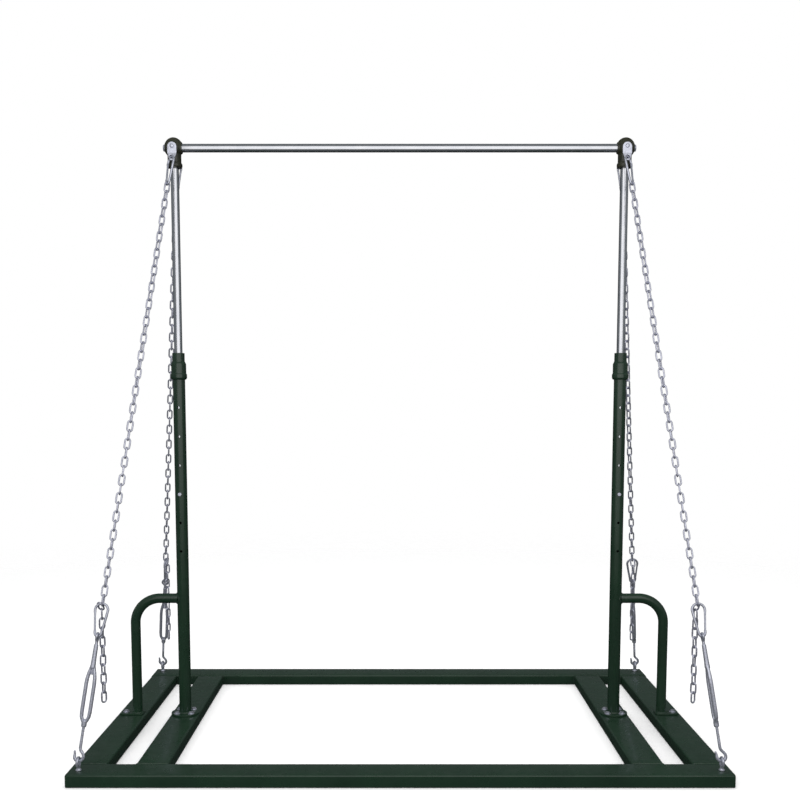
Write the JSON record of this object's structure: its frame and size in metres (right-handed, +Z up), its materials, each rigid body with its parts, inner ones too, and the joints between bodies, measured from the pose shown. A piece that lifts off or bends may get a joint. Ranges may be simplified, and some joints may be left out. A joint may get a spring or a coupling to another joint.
{
  "type": "horizontal bar",
  "caption": "Height-adjustable horizontal bar on a flat rectangular base frame, with braced posts and chain stays tightened by turnbuckles.",
  "frame": {"origin": "on the ground at the middle of the base frame", "axes": "+Z up, +X along the bar to the right, +Y to the back; the locking pins pull out to the front"},
  "size_m": [2, 1.2, 2.035],
  "materials": {
    "frame_paint": "glossy dark green enamel",
    "head_paint": "dark olive enamel over a cast surface",
    "polished_tube": "polished stainless tube",
    "zinc_steel": "bright zinc plate with a blue cast",
    "bush_plastic": "black nylon"
  },
  "bodies": {
    "root": {"front_rail": "frame_paint", "rear_rail": "frame_paint", "left_outer_rail": "frame_paint", "left_inner_rail": "frame_paint", "left_lower_post": "frame_paint", "left_brace": "frame_paint", "left_collar": "frame_paint", "right_outer_rail": "frame_paint", "right_inner_rail": "frame_paint", "right_lower_post": "frame_paint", "right_brace": "frame_paint", "right_collar": "frame_paint", "front_left_eye_bolt": "zinc_steel", "front_left_hook": "zinc_steel", "front_left_chain": "zinc_steel", "front_right_eye_bolt": "zinc_steel", "front_right_hook": "zinc_steel", "front_right_chain": "zinc_steel", "rear_left_eye_bolt": "zinc_steel", "rear_left_hook": "zinc_steel", "rear_left_chain": "zinc_steel", "rear_right_eye_bolt": "zinc_steel", "rear_right_hook": "zinc_steel", "rear_right_chain": "zinc_steel"},
    "portal": {"bar": "polished_tube", "left_upper_post": "polished_tube", "left_guide_bush": "bush_plastic", "left_head": "head_paint", "left_through_bolt": "zinc_steel", "left_front_hanger": "zinc_steel", "left_rear_hanger": "zinc_steel", "right_upper_post": "polished_tube", "right_guide_bush": "bush_plastic", "right_head": "head_paint", "right_through_bolt": "zinc_steel", "right_front_hanger": "zinc_steel", "right_rear_hanger": "zinc_steel", "front_left_upper_snap": "zinc_steel", "front_right_upper_snap": "zinc_steel", "rear_left_upper_snap": "zinc_steel", "rear_right_upper_snap": "zinc_steel"},
    "left_pin": {"left_locking_pin": "zinc_steel"},
    "right_pin": {"right_locking_pin": "zinc_steel"},
    "front_left_buckle": {"front_left_turnbuckle_body": "zinc_steel"},
    "front_left_draw": {"front_left_turnbuckle_eye": "zinc_steel", "front_left_lower_snap": "zinc_steel"},
    "front_left_tail": {"front_left_chain_tail": "zinc_steel"},
    "front_right_buckle": {"front_right_turnbuckle_body": "zinc_steel"},
    "front_right_draw": {"front_right_turnbuckle_eye": "zinc_steel", "front_right_lower_snap": "zinc_steel"},
    "front_right_tail": {"front_right_chain_tail": "zinc_steel"},
    "rear_left_buckle": {"rear_left_turnbuckle_body": "zinc_steel"},
    "rear_left_draw": {"rear_left_turnbuckle_eye": "zinc_steel", "rear_left_lower_snap": "zinc_steel"},
    "rear_left_tail": {"rear_left_chain_tail": "zinc_steel"},
    "rear_right_buckle": {"rear_right_turnbuckle_body": "zinc_steel"},
    "rear_right_draw": {"rear_right_turnbuckle_eye": "zinc_steel", "rear_right_lower_snap": "zinc_steel"},
    "rear_right_tail": {"rear_right_chain_tail": "zinc_steel"}
  },
  "joints": [
    {"name": "height_adjust", "type": "slide", "parent": "root", "child": "portal", "axis": [0, 0, 1], "range_m": [0, 0.3], "deforming": ["front_left_chain", "front_right_chain", "rear_left_chain", "rear_right_chain"]},
    {"name": "left_pin_pull", "type": "slide", "parent": "root", "child": "left_pin", "axis": [0, -1, 0], "range_m": [0, 0.06]},
    {"name": "right_pin_pull", "type": "slide", "parent": "root", "child": "right_pin", "axis": [0, -1, 0], "range_m": [0, 0.06]},
    {"name": "front_left_buckle_turn", "type": "hinge", "parent": "root", "child": "front_left_buckle", "pos_m": [-0.97, -0.56, 0.0697], "axis": [0.1048, 0.2639, 0.9588], "range_deg": [0, 1080]},
    {"name": "front_left_eye_draw", "type": "slide", "parent": "root", "child": "front_left_draw", "axis": [0.1048, 0.2639, 0.9588], "range_m": [0, 0.009]},
    {"name": "front_left_tail_swing", "type": "hinge", "parent": "front_left_draw", "child": "front_left_tail", "pos_m": [-0.92018, -0.43458, 0.52534], "axis": [1, 0, 0], "range_deg": [0, 50]},
    {"name": "front_right_buckle_turn", "type": "hinge", "parent": "root", "child": "front_right_buckle", "pos_m": [0.97, -0.56, 0.0697], "axis": [-0.1048, 0.2639, 0.9588], "range_deg": [0, 1080]},
    {"name": "front_right_eye_draw", "type": "slide", "parent": "root", "child": "front_right_draw", "axis": [-0.1048, 0.2639, 0.9588], "range_m": [0, 0.009]},
    {"name": "front_right_tail_swing", "type": "hinge", "parent": "front_right_draw", "child": "front_right_tail", "pos_m": [0.92018, -0.43458, 0.52534], "axis": [1, 0, 0], "range_deg": [0, 50]},
    {"name": "rear_left_buckle_turn", "type": "hinge", "parent": "root", "child": "rear_left_buckle", "pos_m": [-0.97, 0.56, 0.0697], "axis": [0.1048, -0.2639, 0.9588], "range_deg": [0, 1080]},
    {"name": "rear_left_eye_draw", "type": "slide", "parent": "root", "child": "rear_left_draw", "axis": [0.1048, -0.2639, 0.9588], "range_m": [0, 0.009]},
    {"name": "rear_left_tail_swing", "type": "hinge", "parent": "rear_left_draw", "child": "rear_left_tail", "pos_m": [-0.92018, 0.43458, 0.52534], "axis": [-1, 0, 0], "range_deg": [0, 50]},
    {"name": "rear_right_buckle_turn", "type": "hinge", "parent": "root", "child": "rear_right_buckle", "pos_m": [0.97, 0.56, 0.0697], "axis": [-0.1048, -0.2639, 0.9588], "range_deg": [0, 1080]},
    {"name": "rear_right_eye_draw", "type": "slide", "parent": "root", "child": "rear_right_draw", "axis": [-0.1048, -0.2639, 0.9588], "range_m": [0, 0.009]},
    {"name": "rear_right_tail_swing", "type": "hinge", "parent": "rear_right_draw", "child": "rear_right_tail", "pos_m": [0.92018, 0.43458, 0.52534], "axis": [-1, 0, 0], "range_deg": [0, 50]}
  ],
  "couplings": [
    {"joint": "front_left_eye_draw", "follows": "front_left_buckle_turn", "m_per_rad": 0.000477},
    {"joint": "front_right_eye_draw", "follows": "front_right_buckle_turn", "m_per_rad": 0.000477},
    {"joint": "rear_left_eye_draw", "follows": "rear_left_buckle_turn", "m_per_rad": 0.000477},
    {"joint": "rear_right_eye_draw", "follows": "rear_right_buckle_turn", "m_per_rad": 0.000477}
  ]
}
